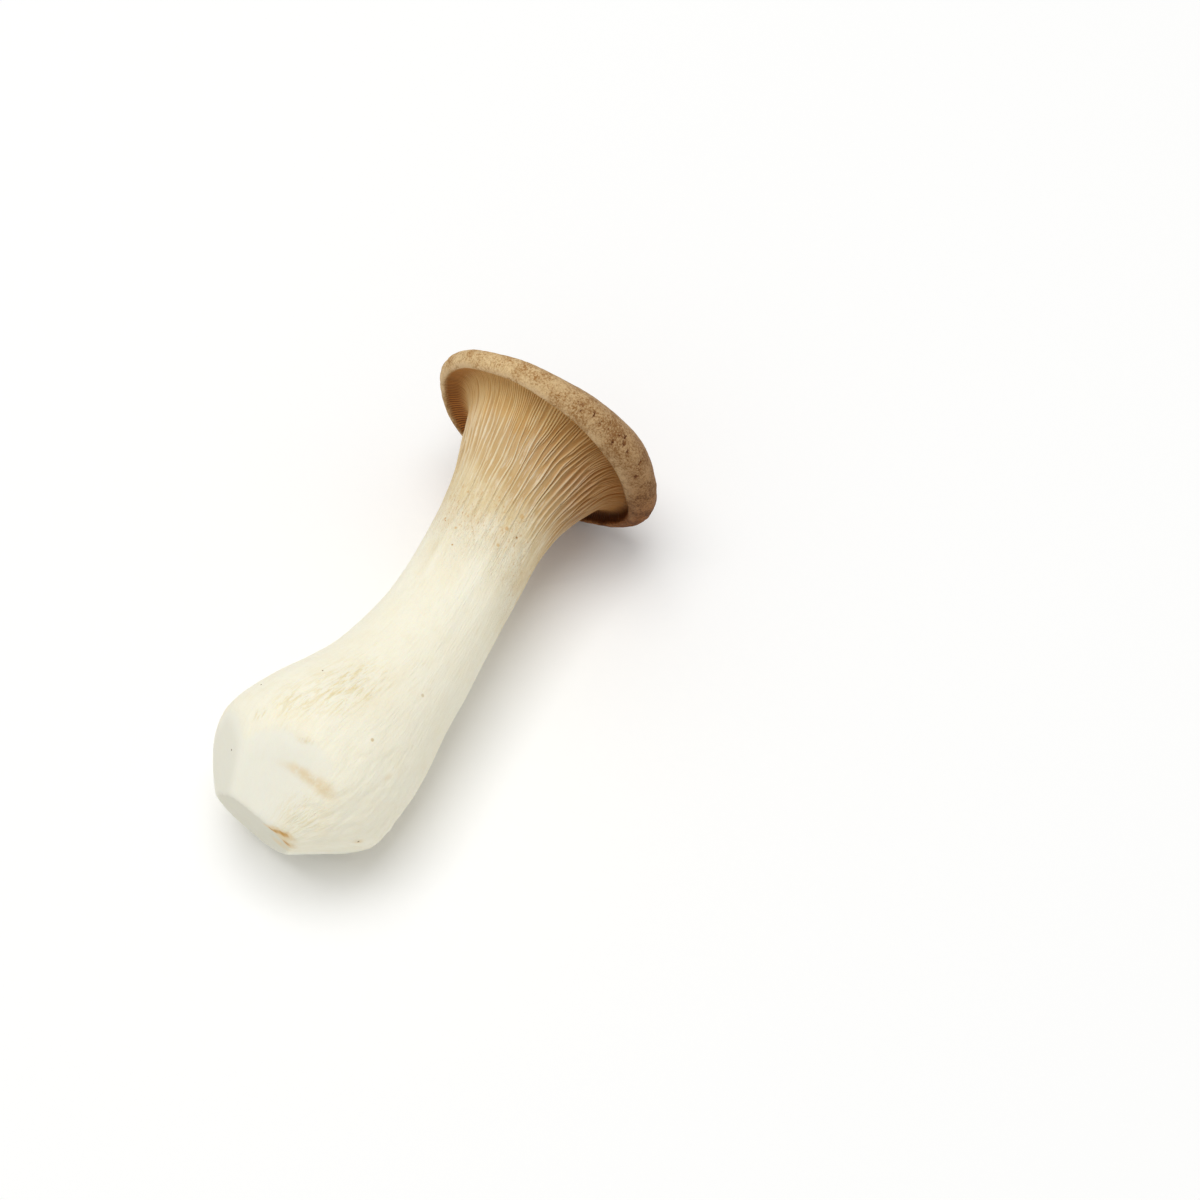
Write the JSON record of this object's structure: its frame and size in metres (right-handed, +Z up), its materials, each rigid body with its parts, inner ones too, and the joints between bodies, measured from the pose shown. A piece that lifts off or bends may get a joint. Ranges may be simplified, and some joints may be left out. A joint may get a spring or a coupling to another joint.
{
  "type": "king oyster mushroom",
  "caption": "Whole picked king oyster mushroom: a thick pale stem swelling to a knife-trimmed bulb, gills running down from a flat tan cap with an inrolled edge.",
  "frame": {"origin": "on the surface that the mushroom lies on, under the middle of its bounding box", "axes": "+X along the mushroom from its trimmed base to its cap, +Z up from the surface; the stem bows towards -Y"},
  "size_m": [0.1366, 0.0622, 0.0617],
  "materials": {
    "mushroom_flesh": "matt, cream-white fibrous stem, tan gills and a velvety brown cap"
  },
  "bodies": {
    "root": {"king_oyster_mushroom": "mushroom_flesh"}
  },
  "joints": []
}
